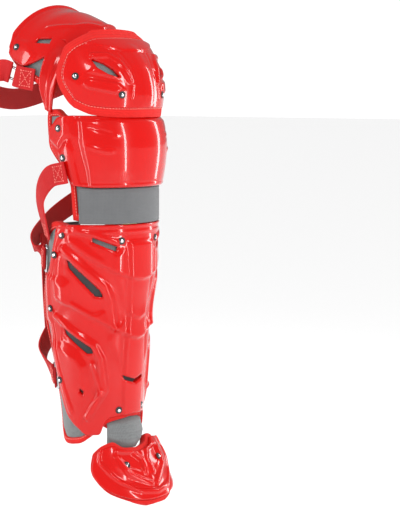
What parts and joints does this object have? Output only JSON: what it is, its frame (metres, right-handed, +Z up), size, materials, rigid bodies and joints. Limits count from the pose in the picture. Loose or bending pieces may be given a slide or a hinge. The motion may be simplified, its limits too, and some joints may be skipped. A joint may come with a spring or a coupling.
{
  "type": "catcher leg guard",
  "caption": "Hard-shell sports leg guard with padded knee, shin with calf wings, toe flap and webbing straps, shown fastened.",
  "frame": {"origin": "inner face of the shin's padding, in the middle of the shin, where the guard sits on the leg", "axes": "+Z up along the shin, -Y to the front of the leg, +X to the wearer's left"},
  "size_m": [0.173, 0.2106, 0.5735],
  "materials": {
    "shell_red": "high gloss moulded shell",
    "mesh_grey": "knitted spacer mesh",
    "lining_green": "soft lining with punched holes",
    "binding_red": "woven edge tape, stitched",
    "pad_black": "stretch cloth over foam",
    "foam_yellow": "bare foam",
    "band_grey": "smooth woven band",
    "webbing_red": "woven webbing",
    "label_white": "bare woven label",
    "dark_metal": "black coated steel",
    "bright_metal": "polished steel",
    "slide_black": "moulded plastic",
    "slide_white": "moulded plastic"
  },
  "bodies": {
    "root": {"ankle_gusset": "mesh_grey", "calf_harness": "webbing_red", "cap_rivet_front_left": "dark_metal", "cap_rivet_front_right": "dark_metal", "cap_rivet_side_left": "dark_metal", "cap_rivet_side_right": "dark_metal", "front_band": "band_grey", "harness_slide_high": "slide_black", "harness_slide_low": "slide_white", "knee_binding": "binding_red", "knee_bolster": "pad_black", "knee_cap_binding": "binding_red", "knee_cap_pad": "mesh_grey", "knee_cap_shell": "shell_red", "knee_foam": "foam_yellow", "knee_hook": "dark_metal", "knee_pad": "lining_green", "knee_slide": "slide_black", "knee_strap": "webbing_red", "label": "label_white", "lower_knee_shell": "shell_red", "plate_rivet_lower_left": "dark_metal", "plate_rivet_lower_right": "dark_metal", "plate_rivet_upper_left": "dark_metal", "plate_rivet_upper_right": "dark_metal", "shin_binding": "binding_red", "shin_inner_pad": "pad_black", "shin_pad": "mesh_grey", "shin_rivet_ankle_left": "dark_metal", "shin_rivet_ankle_right": "dark_metal", "shin_rivet_collar_front_left": "dark_metal", "shin_rivet_collar_front_right": "dark_metal", "shin_rivet_collar_side_left": "dark_metal", "shin_rivet_collar_side_right": "dark_metal", "shin_rivet_wing_high_left": "dark_metal", "shin_rivet_wing_high_right": "dark_metal", "shin_rivet_wing_low_left": "dark_metal", "shin_rivet_wing_low_right": "dark_metal", "shin_rivet_wing_middle_left": "dark_metal", "shin_rivet_wing_middle_right": "dark_metal", "shin_shell": "shell_red", "side_strap": "webbing_red", "thigh_binding": "binding_red", "thigh_hook": "bright_metal", "thigh_loop": "bright_metal", "thigh_pad": "mesh_grey", "thigh_rivet_left": "dark_metal", "thigh_rivet_right": "dark_metal", "thigh_shell": "shell_red", "thigh_strap": "webbing_red", "toe_binding": "binding_red", "toe_pad": "lining_green", "toe_rivet_left": "dark_metal", "toe_rivet_right": "dark_metal", "toe_shell": "shell_red", "wing_hook_high": "dark_metal", "wing_hook_low": "dark_metal", "wing_loop_high": "bright_metal", "wing_loop_low": "bright_metal"}
  },
  "joints": []
}
